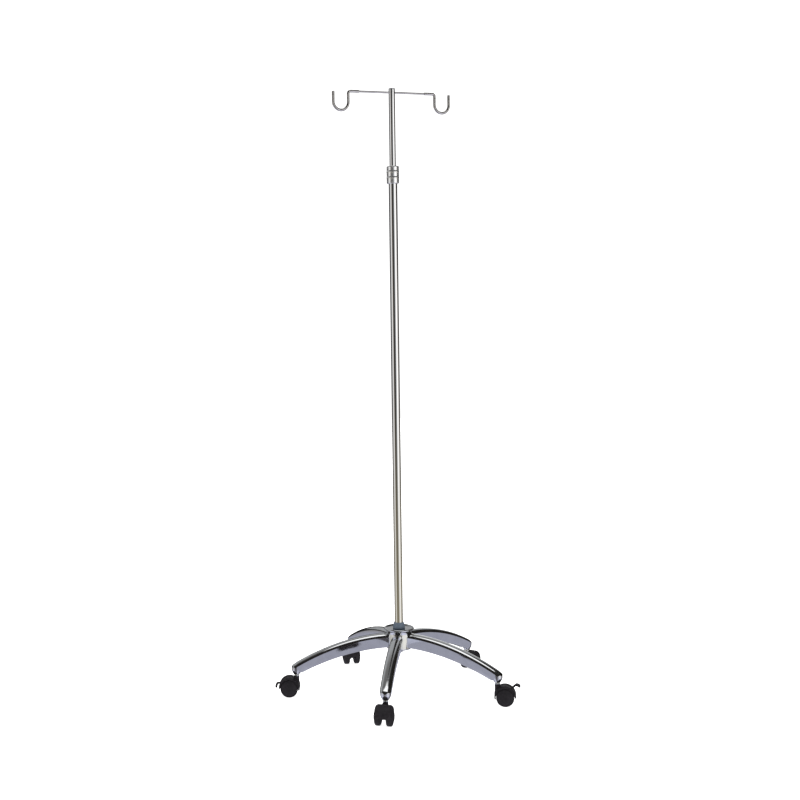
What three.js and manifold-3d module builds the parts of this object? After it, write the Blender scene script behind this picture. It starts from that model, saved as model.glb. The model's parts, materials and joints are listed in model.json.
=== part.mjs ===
// A roller drip stand: a chromed two-section mast with a bag hook at each end of a bar, standing on
// five arched legs with twin-wheel swivel casters.
// Millimetres, +Z up, the floor at z = 0, +X along the hook bar, angles in degrees from +X.

import * as THREE from 'three';
import { mergeVertices } from 'three/addons/utils/BufferGeometryUtils.js';
import Module from 'manifold-3d';

const wasm = await Module();
wasm.setup();

// ---- Driving dimensions ---------------------------------------------------------------------

const GAP = 0.3; // clearance that every pair of neighbouring pieces keeps

// The mast stands a little off the middle of the footprint, which is the origin.
const MAST_X = 7.5;
const MAST_Y = -17.7;
const MAST_TOP = 1305;

const OUTER_TUBE_R = 9.25;
const OUTER_TUBE_WALL = 1.2;
const OUTER_TUBE_TOP = 1119;
const INNER_TUBE_R = 6.75;
const INNER_TUBE_WALL = 1.1;
const INNER_TUBE_FOOT = 425;
const CAP_H = 2.2;

const LOCK_R = 13;
const LOCK_BOTTOM = 1104;
const LOCK_TOP = 1141.5;
const COLLET_TOP = 1135.4;

const BAR_R = 2;
const BAR_DROP = 9; // from the mast's top to the bar's centreline
const HOOK_R = 2.9;
const HOOK_START = 76.5; // where each hook's sleeve begins, from the mast's axis
const HOOK_PRONG = 100.5; // the inner prong's centreline
const HOOK_BEND_R = 5;
const HOOK_BOWL_R = 17;
const HOOK_DROP = 39.7; // from the bar's centreline to the bowl's
const HOOK_LIP = 2; // the outer prong's shoulder below the bar's centreline
const BAR_IN_HOOK = 12;

const HUB_R = 28;
const HUB_RIM_R = 33;
const HUB_BOTTOM = 95;
const HUB_RECESS = 139.6;
const HUB_TOP = 142.2;
const HUB_FLOOR = 102; // the outer tube stands on it
const POLE_COLLAR_TOP = 153.5;
const PLUG_TOP = 122; // the plug in the outer tube's foot
const BASE_BOLT_R = 5;
const BASE_BOLT_TOP = 119;
const WASHER_T = 1.8;

const LEG_NAMES = ['front', 'right', 'rear_right', 'rear_left', 'left'];
const FIRST_LEG_ANGLE = -122.1; // the others follow, evenly spaced
const LEG_REACH = 227; // from the mast's axis to each caster stem's
const LEG_TIP = 238.6;
const LEG_CREST = 15; // where the arch is level
const LEG_TOP_Z = 130.5;
const LEG_TOP_R = 399;
const LEG_BOTTOM_Z = 100.3;
const LEG_BOTTOM_R = 431;
const LEG_ROOT_HALF = 13;
const LEG_TIP_HALF = 12.4;
const LEG_WALL = 2.2;
const LEG_NOSE = 222; // where the rounding of the nose begins
const LEG_HEEL = 216; // where the lower edge turns level, on its way to the nose
const NOSE_RISE = 10.5; // from there to the tip

const TONGUE_HALF = 9.3; // the hub's tongues, which the legs are screwed to
const TONGUE_END = 48;
const TONGUE_BOTTOM = 101.5;
const TONGUE_TOP = 109.5;
const SCREW_AT = 39;
const SCREW_TOP = 121;

const TRAIL_ANGLES = [-127, -29.5, 35, 80, 155]; // each caster's trail, in the legs' order
const TRAIL = 16.2; // from the stem's axis to the axle
const WHEEL_R = 19;
const WHEEL_IN = 6.4; // the wheels' inner and outer faces, from the caster's middle plane
const WHEEL_OUT = 20.9;
const WHEEL_RIM = 17.4; // where the tread ends and the domed face begins
const AXLE_R = 3;
const STEM_BOTTOM = 26;
const STEM_R = 4;
const STEM_PIN_R = 3.4; // where it turns in the hood
const STEM_RING_R = 5.5;
const STEM_RING_BOTTOM = 44.7;
const STEM_RING_TOP = 47.7;
const STEM_TOP = 67;
const BOSS_BOTTOM = 48.6;
const BOSS_R = 11.2;
const HOOD_R = 22.9;
const HOOD_LIFT = 1; // the hood's own axis above the axle
const HOOD_WELL_R = 19.8;
const HOOD_HALF = 17.1; // the hood's rim, from the caster's middle plane
const HOOD_WEB = 6; // half the thickness of the web between the wheels
const HOOD_BOSS_R = 5.6;
const HOOD_BOSS_TOP = 44.4;

const LEVER_X = TRAIL + 7; // the brake levers' pivot, in the caster's own frame
const LEVER_Z = WHEEL_R + 13;
const LEVER_SWING = 50;
const LEVER_BEND = [LEVER_X + 15.3, LEVER_Z - 10]; // the middle of the paddle's curve
const LEVER_BEND_R = 6.6;
const LEVER_HALF_T = 2.1;
const LEVER_NECK = 2.2;
const LEVER_PADDLE = 6.5;

// ---- Materials ------------------------------------------------------------------------------

const chrome = new THREE.MeshStandardMaterial({ color: 0xd4d6da, roughness: 0.12, metalness: 1 });
const steel = new THREE.MeshStandardMaterial({ color: 0x9a9ca0, roughness: 0.35, metalness: 1 });
const slate = new THREE.MeshStandardMaterial({ color: 0x58626f, roughness: 0.5, metalness: 0 });
const nylon = new THREE.MeshStandardMaterial({ color: 0xd9d8d2, roughness: 0.55, metalness: 0 });
const black = new THREE.MeshStandardMaterial({ color: 0x262428, roughness: 0.6, metalness: 0 });

// ---- Solids ---------------------------------------------------------------------------------

const radians = THREE.MathUtils.degToRad;

function signedVolume(position, triangles) {
  const [a, b, c] = [new THREE.Vector3(), new THREE.Vector3(), new THREE.Vector3()];
  let volume = 0;
  for (let i = 0; i < triangles.length; i += 3) {
    a.fromBufferAttribute(position, triangles[i]);
    b.fromBufferAttribute(position, triangles[i + 1]);
    c.fromBufferAttribute(position, triangles[i + 2]);
    volume += a.dot(b.cross(c));
  }
  return volume;
}

// A closed geometry as a solid, with its seams merged and its faces pointing out.
function solid(geometry) {
  const bare = geometry.clone();
  bare.deleteAttribute('normal');
  bare.deleteAttribute('uv');
  const merged = mergeVertices(bare);
  const index = merged.index.array;
  const triangles = [];
  for (let i = 0; i < index.length; i += 3) {
    const [a, b, c] = index.slice(i, i + 3);
    if (a !== b && b !== c && c !== a) triangles.push(a, b, c);
  }
  if (signedVolume(merged.attributes.position, triangles) < 0) triangles.reverse();
  const vertProperties = new Float32Array(merged.attributes.position.array);
  const triVerts = new Uint32Array(triangles);
  return new wasm.Manifold(new wasm.Mesh({ numProp: 3, vertProperties, triVerts }));
}

// A profile of [radius, height] points turned about Z. It starts and ends on the axis, or closes.
function turned(profile, sides = 32) {
  const points = profile.map(([r, z]) => new THREE.Vector2(r, z));
  return solid(new THREE.LatheGeometry(points, sides).rotateX(Math.PI / 2));
}

function tube(inner, outer, bottom, top, sides) {
  return turned([[inner, bottom], [outer, bottom], [outer, top], [inner, top], [inner, bottom]], sides);
}

function rod(radius, bottom, top, sides) {
  return turned([[0, bottom], [radius, bottom], [radius, top], [0, top]], sides);
}

// The same rod laid along Y, from low to high, with its axis at x, z.
function crossRod(radius, low, high, x, z, sides) {
  return rod(radius, low, high, sides).rotate([-90, 0, 0]).translate([x, 0, z]);
}

function box(low, high) {
  const size = high.map((h, i) => h - low[i]);
  const middle = high.map((h, i) => (h + low[i]) / 2);
  return solid(new THREE.BoxGeometry(...size).translate(...middle));
}

function extruded(outline, depth) {
  const shape = new THREE.Shape(outline.map(([x, y]) => new THREE.Vector2(x, y)));
  return new THREE.ExtrudeGeometry(shape, { depth, bevelEnabled: false });
}

// An outline of [x, z] points, as thick as it says along Y, both ways from the middle plane.
function slab(outline, half) {
  return solid(extruded(outline, 2 * half).rotateX(Math.PI / 2).translate(0, half, 0));
}

// An outline of [y, z] points, drawn out along X.
function alongX(outline, low, high) {
  const turn = new THREE.Matrix4().makeBasis(
    new THREE.Vector3(0, 1, 0), new THREE.Vector3(0, 0, 1), new THREE.Vector3(1, 0, 0));
  return solid(extruded(outline, high - low).applyMatrix4(turn).translate(low, 0, 0));
}

// The points of an arc in [x, z], from one angle to the other.
function arc(x, z, radius, from, to, steps) {
  return Array.from({ length: steps + 1 }, (_, i) => {
    const angle = radians(from + ((to - from) * i) / steps);
    return [x + radius * Math.cos(angle), z + radius * Math.sin(angle)];
  });
}

// A closed skin over rings of [x, y, z] points, with a flat cap at each end.
function lofted(rings) {
  const count = rings[0].length;
  const middle = (ring) => [0, 1, 2].map((k) => ring.reduce((sum, p) => sum + p[k], 0) / count);
  const points = [...rings.flat(), middle(rings[0]), middle(rings.at(-1))];
  const faces = [];
  for (let j = 0; j < count; j++) {
    const next = (j + 1) % count;
    for (let i = 0; i < rings.length - 1; i++) {
      const [a, b] = [i * count, (i + 1) * count];
      faces.push(a + j, b + j, b + next, a + j, b + next, a + next);
    }
    const last = (rings.length - 1) * count;
    faces.push(points.length - 2, j, next, points.length - 1, last + next, last + j);
  }
  const geometry = new THREE.BufferGeometry();
  geometry.setAttribute('position', new THREE.Float32BufferAttribute(points.flat(), 3));
  geometry.setIndex(faces);
  return solid(geometry);
}

function named(name, body, material) {
  const mesh = body.getMesh();
  const geometry = new THREE.BufferGeometry();
  geometry.setAttribute('position', new THREE.BufferAttribute(mesh.vertProperties, 3));
  geometry.setIndex(new THREE.BufferAttribute(mesh.triVerts, 1));
  geometry.computeVertexNormals();
  const piece = new THREE.Mesh(geometry, material);
  piece.name = name;
  return piece;
}

// ---- Base: hub, legs and their screws --------------------------------------------------------

const legAngle = (i) => FIRST_LEG_ANGLE + (360 / LEG_NAMES.length) * i;

function hub() {
  let body = turned([
    [0, HUB_BOTTOM], [HUB_R - 2.5, HUB_BOTTOM], [HUB_R, HUB_BOTTOM + 2.5], [HUB_R, HUB_TOP - 11],
    [HUB_R + 1.4, HUB_TOP - 7], [HUB_RIM_R, HUB_TOP - 3.2], [HUB_RIM_R, HUB_TOP - 1.6],
    [HUB_RIM_R - 1.8, HUB_TOP], [HUB_RIM_R - 3.6, HUB_TOP - 0.8], [HUB_RIM_R - 4, HUB_RECESS],
    [0, HUB_RECESS],
  ], 32);
  for (const i of LEG_NAMES.keys()) {
    const tongue = box([HUB_R - 5, -TONGUE_HALF, TONGUE_BOTTOM], [TONGUE_END, TONGUE_HALF, TONGUE_TOP]);
    const hole = rod(2.8, TONGUE_BOTTOM - 1, TONGUE_TOP + 1, 10).translate([SCREW_AT, 0, 0]);
    body = body.add(tongue.subtract(hole).rotate([0, 0, legAngle(i)]));
  }
  const socket = rod(OUTER_TUBE_R + GAP, HUB_FLOOR - GAP, HUB_TOP, 28);
  return body.subtract(socket).subtract(rod(BASE_BOLT_R + 0.4, HUB_BOTTOM - 1, HUB_TOP, 16));
}

const legTop = (x) => LEG_TOP_Z - (x - LEG_CREST) ** 2 / (2 * LEG_TOP_R);

function legBottom(x) {
  const arch = (at) => LEG_BOTTOM_Z - (at - LEG_CREST) ** 2 / (2 * LEG_BOTTOM_R);
  if (x <= LEG_HEEL) return arch(x);
  return arch(LEG_HEEL) + NOSE_RISE * ((x - LEG_HEEL) / (LEG_TIP - LEG_HEEL)) ** 3;
}

function legHalf(x) {
  return THREE.MathUtils.mapLinear(x, HUB_R, LEG_REACH, LEG_ROOT_HALF, LEG_TIP_HALF);
}

// A section across the leg: level below, flat sides, rounded shoulders and a slightly crowned top.
function legSection(x, half, bottom, top, shoulder) {
  const round = arc(half - shoulder, top - 0.9 - shoulder, shoulder, 0, 75, 2);
  const right = [[half, bottom], ...round];
  const left = right.map(([y, z]) => [-y, z]).reverse();
  return [...right, [0, top], ...left].map(([y, z]) => [x, y, z]);
}

function legBlank() {
  const rings = [];
  const straight = 8;
  for (let i = 0; i <= straight; i++) {
    const x = THREE.MathUtils.lerp(HUB_R - 6, LEG_NOSE, i / straight);
    rings.push(legSection(x, legHalf(x), legBottom(x), legTop(x), 6));
  }
  for (const angle of [30, 50, 68, 86]) {
    const x = LEG_NOSE + (LEG_TIP - LEG_NOSE) * Math.sin(radians(angle));
    const shrink = Math.cos(radians(angle));
    const top = legTop(x) - 4 * (1 - shrink);
    const bottom = Math.min(legBottom(x), top - 3);
    const shoulder = Math.min(6, (top - bottom) / 2.5) * shrink;
    rings.push(legSection(x, legHalf(x) * shrink, bottom, top, shoulder));
  }
  return lofted(rings);
}

function legHollow() {
  const rings = [];
  const steps = 7;
  for (let i = 0; i <= steps; i++) {
    const x = THREE.MathUtils.lerp(HUB_R - 8, LEG_NOSE + 4, i / steps);
    const half = legHalf(x) - LEG_WALL;
    const top = legTop(x) - LEG_WALL;
    const outline = [[half, legBottom(x) - 12], [half, top - 5], [half - 4, top - 0.6],
      [4 - half, top - 0.6], [-half, top - 5], [-half, legBottom(x) - 12]];
    rings.push(outline.map(([y, z]) => [x, y, z]));
  }
  return lofted(rings);
}

// A pressed channel, open below, with a block for its screw at the root and a boss for the caster.
function leg() {
  const inside = LEG_ROOT_HALF - LEG_WALL + 0.5;
  const rootBlock = box([HUB_R, -inside, TONGUE_TOP + GAP], [TONGUE_END, inside, legTop(TONGUE_END) - 1]);
  const screwHole = rod(2.5, TONGUE_TOP - 1, SCREW_TOP + 2, 10).translate([SCREW_AT, 0, 0]);
  const ceiling = legTop(LEG_REACH) - 1.6;
  const funnel = [[6.6, 0], [7.6, 1.6], [9.2, 4.4], [BOSS_R, 9]].map(([r, z]) => [r, BOSS_BOTTOM + z]);
  const boss = turned([[0, BOSS_BOTTOM], ...funnel, [BOSS_R, ceiling], [0, ceiling]], 18)
    .translate([LEG_REACH, 0, 0]);
  const socket = rod(5.9, BOSS_BOTTOM - 2, STEM_TOP + 1.6, 16).translate([LEG_REACH, 0, 0]);
  return legBlank().subtract(legHollow()).add(rootBlock.subtract(screwHole))
    .add(boss.intersect(underLegTop())).subtract(socket)
    .subtract(rod(HUB_R + GAP, HUB_BOTTOM - 2, LEG_TOP_Z + 4, 32));
}

// The space under the leg's top skin near its tip, so that the boss never pokes through.
function underLegTop() {
  const [low, high] = [LEG_REACH - 15, LEG_TIP - 2];
  const skin = [0, 1, 2, 3].map((i) => high + ((low - high) * i) / 3).map((x) => [x, legTop(x) - 2]);
  return slab([[low, 40], [high, 40], ...skin], LEG_TIP_HALF);
}

function legScrew() {
  const under = TONGUE_BOTTOM - GAP;
  return turned([[0, under - 3.6], [4.4, under - 3.6], [4.4, under], [2.2, under], [2.2, SCREW_TOP],
    [0, SCREW_TOP]], 10).translate([SCREW_AT, 0, 0]);
}

// ---- Casters, in a frame with the stem's axis at the origin and the axle out along +X ----------

function casterStem() {
  return turned([[0, STEM_BOTTOM], [STEM_PIN_R, STEM_BOTTOM], [STEM_PIN_R, STEM_RING_BOTTOM],
    [STEM_RING_R, STEM_RING_BOTTOM], [STEM_RING_R, STEM_RING_TOP], [STEM_R, STEM_RING_TOP],
    [STEM_R, STEM_TOP], [0, STEM_TOP]], 14);
}

function stemSleeve() {
  return tube(STEM_R + GAP, 5.6, STEM_RING_TOP + GAP, STEM_TOP + 1, 14);
}

// The shell over both wheels: barrel-shaped outside, with a web down the middle for the axle.
function hood(withLever) {
  const rim = [[0, -HOOD_HALF], [HOOD_WELL_R + 0.6, -HOOD_HALF], [HOOD_R - 1.2, -HOOD_HALF + 1.4],
    [HOOD_R, -HOOD_HALF + 4]];
  const barrel = turned([...rim, ...rim.map(([r, y]) => [r, -y]).reverse()], 28)
    .rotate([-90, 0, 0]).translate([TRAIL, 0, WHEEL_R + HOOD_LIFT]);
  const below = slab([[TRAIL - 30, 16.5], [TRAIL, 14.5], [TRAIL + 30, 20.7], [TRAIL + 30, -20],
    [TRAIL - 30, -20]], 30);
  const betweenWheels = slab([[TRAIL - 30, 20], [TRAIL - 13, 20], [TRAIL - 7, 13], [TRAIL + 7, 13],
    [TRAIL + 15, 23], [TRAIL + 30, 23], [TRAIL + 30, -20], [TRAIL - 30, -20]], HOOD_WEB + 0.4);
  const neck = rod(HOOD_BOSS_R, STEM_BOTTOM, HOOD_BOSS_TOP, 20).add(
    box([0, -HOOD_BOSS_R, 30], [TRAIL - 2, HOOD_BOSS_R, WHEEL_R + HOOD_LIFT + HOOD_R - 0.8]));
  const well = crossRod(HOOD_WELL_R, HOOD_WEB, 30, TRAIL, WHEEL_R, 24);
  const farWell = crossRod(HOOD_WELL_R, -30, -HOOD_WEB, TRAIL, WHEEL_R, 24);
  const body = barrel.subtract(below).subtract(betweenWheels).add(neck)
    .subtract(well).subtract(farWell)
    .subtract(rod(STEM_PIN_R + GAP, STEM_BOTTOM - 0.5, HOOD_BOSS_TOP + 1, 14))
    .subtract(crossRod(AXLE_R + 0.2, -8, 8, TRAIL, WHEEL_R, 14));
  if (!withLever) return body;
  const slot = slab([[LEVER_X - 5.2, LEVER_Z - 5.2], [TRAIL + 30, LEVER_Z - 12], [TRAIL + 30, 50],
    [LEVER_X + 9, LEVER_Z + 24], [LEVER_X - 5.2, LEVER_Z + 5.2]], LEVER_NECK + GAP);
  return body.subtract(slot).subtract(crossRod(1.8, -8, 8, LEVER_X, LEVER_Z, 10));
}

// A wheel for the +Y side: a flat tread and a domed outer face, with a blind bore for the axle.
function wheel() {
  const dome = [0.72 * WHEEL_R, (WHEEL_OUT + WHEEL_RIM) / 2];
  const bore = AXLE_R + 0.2;
  const floor = WHEEL_OUT - 3;
  return turned([[bore, WHEEL_IN], [WHEEL_R - 1.8, WHEEL_IN], [WHEEL_R, WHEEL_IN + 1.8],
    [WHEEL_R, WHEEL_RIM - 1], dome, [0, WHEEL_OUT], [0, floor], [bore, floor], [bore, WHEEL_IN]], 20);
}

function axle() {
  const half = WHEEL_OUT - 3 - GAP;
  return crossRod(AXLE_R, -half, half, TRAIL, WHEEL_R, 14);
}

// The lever as it lies with the brake on: a neck out of the pivot, then a paddle hooked downwards.
function brakeLever() {
  const [outer, inner] = [LEVER_BEND_R + LEVER_HALF_T, LEVER_BEND_R - LEVER_HALF_T];
  const strip = (from, to, steps) => [
    ...arc(...LEVER_BEND, outer, from, to, steps), ...arc(...LEVER_BEND, inner, to, from, steps)];
  const neck = slab([...arc(LEVER_X, LEVER_Z, 4.2, 33, 327, 8),
    ...arc(...LEVER_BEND, inner, 100, 40, 4), ...arc(...LEVER_BEND, outer, 40, 100, 4)], LEVER_NECK);
  const paddle = slab(strip(-25, 45, 6), LEVER_PADDLE);
  const pin = crossRod(1.75, -8, 8, LEVER_X, LEVER_Z, 12);
  return neck.add(paddle).subtract(pin);
}

function brakePin() {
  return crossRod(1.4, -HOOD_WEB + 0.2, HOOD_WEB - 0.2, LEVER_X, LEVER_Z, 12);
}

// ---- Mast -----------------------------------------------------------------------------------

function poleCollar() {
  return turned([[OUTER_TUBE_R + GAP, HUB_RECESS + GAP], [13.2, HUB_RECESS + GAP], [13.2, HUB_RECESS + 4],
    [10.9, POLE_COLLAR_TOP - 1], [10.3, POLE_COLLAR_TOP], [OUTER_TUBE_R + GAP, POLE_COLLAR_TOP],
    [OUTER_TUBE_R + GAP, HUB_RECESS + GAP]], 24);
}

// The plug in the outer tube's foot, which the base bolt screws into.
function footPlug() {
  return tube(BASE_BOLT_R + GAP, OUTER_TUBE_R - OUTER_TUBE_WALL - GAP, HUB_FLOOR, PLUG_TOP, 16);
}

function baseWasher() {
  return tube(BASE_BOLT_R + GAP, 12, HUB_BOTTOM - GAP - WASHER_T, HUB_BOTTOM - GAP, 20);
}

// A hexagon bolt up through the washer and the hub's floor.
function baseBolt() {
  const under = HUB_BOTTOM - 2 * GAP - WASHER_T;
  return rod(9.2, under - 6, under, 6).add(rod(BASE_BOLT_R, under - 1, BASE_BOLT_TOP, 16));
}

function foot(inner) {
  const spigot = INNER_TUBE_R - INNER_TUBE_WALL - GAP;
  const flange = OUTER_TUBE_R - OUTER_TUBE_WALL - 0.2;
  const top = INNER_TUBE_FOOT - GAP;
  return turned([[inner, top - 9], [flange, top - 9], [flange, top],
    [spigot, top], [spigot, top + 16], [inner, top + 16], [inner, top - 9]], 18);
}

// The lock collar: a chromed knob waisted three times, coned inside to squeeze the collet.
function lockCollar() {
  const ridge = LOCK_R + 0.6;
  const third = (LOCK_TOP - LOCK_BOTTOM) / 3;
  const waist = (from) => [[LOCK_R - 0.3, from + 2], [LOCK_R - 0.3, from + third - 2]];
  const outside = [[LOCK_R - 1, LOCK_BOTTOM], ...waist(LOCK_BOTTOM), [ridge, LOCK_BOTTOM + third],
    ...waist(LOCK_BOTTOM + third), [ridge, LOCK_BOTTOM + 2 * third], ...waist(LOCK_BOTTOM + 2 * third),
    [LOCK_R - 1.2, LOCK_TOP]];
  const bore = INNER_TUBE_R + 0.35;
  const inside = [[bore, LOCK_TOP], [bore, COLLET_TOP + 0.6], [8.8, COLLET_TOP + 0.4],
    [10.1, OUTER_TUBE_TOP + 1], [OUTER_TUBE_R + GAP, OUTER_TUBE_TOP - 1],
    [OUTER_TUBE_R + GAP, LOCK_BOTTOM]];
  return turned([...outside, ...inside, outside[0]], 24);
}

// The split nylon collet between the collar's cone and the inner tube.
function collet() {
  const bottom = OUTER_TUBE_TOP + GAP;
  const ring = turned([[INNER_TUBE_R + GAP, bottom], [9.6, bottom], [8.5, COLLET_TOP],
    [INNER_TUBE_R + GAP, COLLET_TOP], [INNER_TUBE_R + GAP, bottom]], 20);
  return ring.subtract(box([5, -0.8, bottom - 1], [12, 0.8, COLLET_TOP + 1]));
}

function innerTube() {
  const bar = rod(BAR_R + GAP, -12, 12, 12).rotate([0, 90, 0]).translate([0, 0, MAST_TOP - BAR_DROP]);
  const wall = tube(INNER_TUBE_R - INNER_TUBE_WALL, INNER_TUBE_R, INNER_TUBE_FOOT, MAST_TOP - CAP_H, 24);
  return wall.subtract(bar);
}

// A cap with its spigot cut short, above the bar.
function mastCap() {
  const bottom = MAST_TOP - CAP_H + GAP;
  const spigot = INNER_TUBE_R - INNER_TUBE_WALL - GAP;
  return turned([[0, bottom - 2], [spigot, bottom - 2], [spigot, bottom], [INNER_TUBE_R, bottom],
    [INNER_TUBE_R, MAST_TOP - 0.8], [INNER_TUBE_R - 0.8, MAST_TOP], [0, MAST_TOP]], 18);
}

function crossBar() {
  const half = HOOK_START + BAR_IN_HOOK;
  return rod(BAR_R, -half, half, 12).rotate([0, 90, 0]).translate([0, 0, MAST_TOP - BAR_DROP]);
}

// A hook for the +X side: a sleeve over the bar's end, a bend down and a round bowl.
function hook() {
  const barZ = MAST_TOP - BAR_DROP;
  const bowlZ = barZ - HOOK_DROP + HOOK_BOWL_R;
  const far = HOOK_PRONG + 2 * HOOK_BOWL_R;
  const path = [
    [HOOK_START, barZ], ...arc(HOOK_PRONG - HOOK_BEND_R, barZ - HOOK_BEND_R, HOOK_BEND_R, 90, 0, 4),
    ...arc(HOOK_PRONG + HOOK_BOWL_R, bowlZ, HOOK_BOWL_R, 180, 360, 12), [far, barZ - HOOK_LIP],
  ];
  const sides = 8;
  const ring = (x, z, heading, radius) => Array.from({ length: sides }, (_, k) => {
    const turn = (2 * Math.PI * k) / sides;
    const out = radius * Math.sin(turn);
    return [x - out * Math.sin(heading), radius * Math.cos(turn), z + out * Math.cos(heading)];
  });
  const rings = path.map(([x, z], i) => {
    const [ax, az] = path[Math.max(i - 1, 0)];
    const [bx, bz] = path[Math.min(i + 1, path.length - 1)];
    return ring(x, z, Math.atan2(bz - az, bx - ax), HOOK_R);
  });
  rings.push(ring(far, barZ - HOOK_LIP + 1.4, Math.PI / 2, HOOK_R * 0.75));
  const bore = rod(BAR_R + 0.15, 0, HOOK_START + BAR_IN_HOOK + GAP, 12).rotate([0, 90, 0]);
  return lofted(rings).subtract(bore.translate([0, 0, barZ]));
}

// ---- Assembly -------------------------------------------------------------------------------

const BRAKED = { left: 0, right: LEVER_SWING }; // how far each lever is lifted from its locked place

function caster(name) {
  const group = new THREE.Group();
  const braked = name in BRAKED;
  group.add(named(`caster_stem_${name}`, casterStem(), chrome));
  group.add(named(`caster_hood_${name}`, hood(braked), black));
  group.add(named(`axle_${name}`, axle(), steel));
  const outward = wheel().rotate([-90, 0, 0]).translate([TRAIL, 0, WHEEL_R]);
  group.add(named(`wheel_${name}_a`, outward, black));
  group.add(named(`wheel_${name}_b`, outward.mirror([0, 1, 0]), black));
  if (!braked) return group;
  const lifted = brakeLever().translate([-LEVER_X, 0, -LEVER_Z]).rotate([0, -BRAKED[name], 0]);
  group.add(named(`brake_lever_${name}`, lifted.translate([LEVER_X, 0, LEVER_Z]), black));
  group.add(named(`brake_pin_${name}`, brakePin(), steel));
  return group;
}

function legAndCaster(name, angle, trailAngle) {
  const group = new THREE.Group();
  group.rotation.z = radians(angle);
  group.add(named(`leg_${name}`, leg(), chrome));
  group.add(named(`leg_screw_${name}`, legScrew(), steel));
  const sleeve = named(`stem_sleeve_${name}`, stemSleeve(), nylon);
  sleeve.position.x = LEG_REACH;
  group.add(sleeve);
  const wheels = caster(name);
  wheels.position.x = LEG_REACH;
  wheels.rotation.z = radians(trailAngle - angle);
  group.add(wheels);
  return group;
}

const stand = new THREE.Group();
stand.position.set(MAST_X, MAST_Y, 0);
stand.add(named('base_hub', hub(), chrome));
LEG_NAMES.forEach((name, i) => stand.add(legAndCaster(name, legAngle(i), TRAIL_ANGLES[i])));
stand.add(named('base_bolt', baseBolt(), steel));
stand.add(named('base_washer', baseWasher(), steel));
stand.add(named('foot_plug', footPlug(), steel));
stand.add(named('pole_collar', poleCollar(), slate));
const outerBore = OUTER_TUBE_R - OUTER_TUBE_WALL;
stand.add(named('outer_tube', tube(outerBore, OUTER_TUBE_R, HUB_FLOOR, OUTER_TUBE_TOP, 32), chrome));
stand.add(named('collet', collet(), nylon));
stand.add(named('lock_collar', lockCollar(), chrome));
stand.add(named('foot_glide', foot(2.5), nylon));
stand.add(named('inner_tube', innerTube(), chrome));
stand.add(named('mast_cap', mastCap(), chrome));
stand.add(named('cross_bar', crossBar(), chrome));
stand.add(named('hook_right', hook(), chrome));
stand.add(named('hook_left', hook().mirror([1, 0, 0]), chrome));

export default stand;
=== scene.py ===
"""The looks of a chromed roller drip stand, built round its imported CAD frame.

Blender objects are in metres, +Z up, in the frame's own axes. Outlines and profiles are in
millimetres, each in its piece's own axes, and the frame's joints and boxes say where they go.
"""

import json
import math

import bmesh
import bpy
from mathutils import Matrix, Vector


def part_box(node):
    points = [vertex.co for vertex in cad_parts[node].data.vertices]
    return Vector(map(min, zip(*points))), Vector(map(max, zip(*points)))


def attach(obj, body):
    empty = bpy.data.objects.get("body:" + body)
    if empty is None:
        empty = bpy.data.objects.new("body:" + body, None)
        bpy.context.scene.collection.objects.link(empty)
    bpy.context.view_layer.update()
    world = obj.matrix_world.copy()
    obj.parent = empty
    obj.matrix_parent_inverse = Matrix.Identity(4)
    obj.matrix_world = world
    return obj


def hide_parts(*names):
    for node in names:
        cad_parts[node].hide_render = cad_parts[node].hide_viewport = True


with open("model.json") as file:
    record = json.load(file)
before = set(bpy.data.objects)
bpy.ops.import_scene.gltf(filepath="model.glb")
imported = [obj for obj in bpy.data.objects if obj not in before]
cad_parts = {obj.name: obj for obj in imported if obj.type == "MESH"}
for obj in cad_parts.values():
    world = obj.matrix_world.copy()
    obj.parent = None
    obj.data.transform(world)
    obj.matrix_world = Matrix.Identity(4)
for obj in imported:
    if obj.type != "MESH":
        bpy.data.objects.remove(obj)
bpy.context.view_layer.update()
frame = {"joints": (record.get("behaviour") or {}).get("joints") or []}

MM = 0.001
joints = {row["name"]: row for row in frame["joints"]}
bpy.context.scene.view_settings.view_transform = "Standard"

# ---- Places, from the frame -----------------------------------------------------------------

LEGS = ("front", "right", "rear_right", "rear_left", "left")
BRAKED = ("left", "right")


def middle(node):
    low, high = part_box(node)
    return (low + high) / 2


def height(node):
    """The lowest and highest z of a CAD node, in millimetres."""
    low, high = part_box(node)
    return low.z / MM, high.z / MM


def radius(node):
    """Half a CAD node's width along X, in millimetres, for a piece turned about an upright axis."""
    low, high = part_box(node)
    return (high.x - low.x) / 2 / MM


def joint_point(name):
    return Vector(joints[name]["pos_m"])


def upright(x, y, angle=0.0):
    """A place on the floor at x, y, in metres, turned about Z by an angle in radians."""
    return Matrix.Translation((x, y, 0)) @ Matrix.Rotation(angle, 4, "Z")


def heading(start, end):
    return math.atan2(end.y - start.y, end.x - start.x)


mast = middle("outer_tube")
MAST = upright(mast.x, mast.y)
stems = {leg: joint_point(f"swivel_{leg}") for leg in LEGS}
axles = {leg: joint_point(f"roll_{leg}_a") for leg in LEGS}
LEG_PLACES = {leg: upright(mast.x, mast.y, heading(mast, stems[leg])) for leg in LEGS}
CASTER_PLACES = {
    leg: upright(stems[leg].x, stems[leg].y, heading(stems[leg], axles[leg])) for leg in LEGS
}
LEG_REACH = (stems["front"] - mast).to_2d().length / MM
TRAIL = (axles["front"] - stems["front"]).to_2d().length / MM
WHEEL_R = axles["front"].z / MM

# ---- Mesh tools -----------------------------------------------------------------------------


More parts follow.
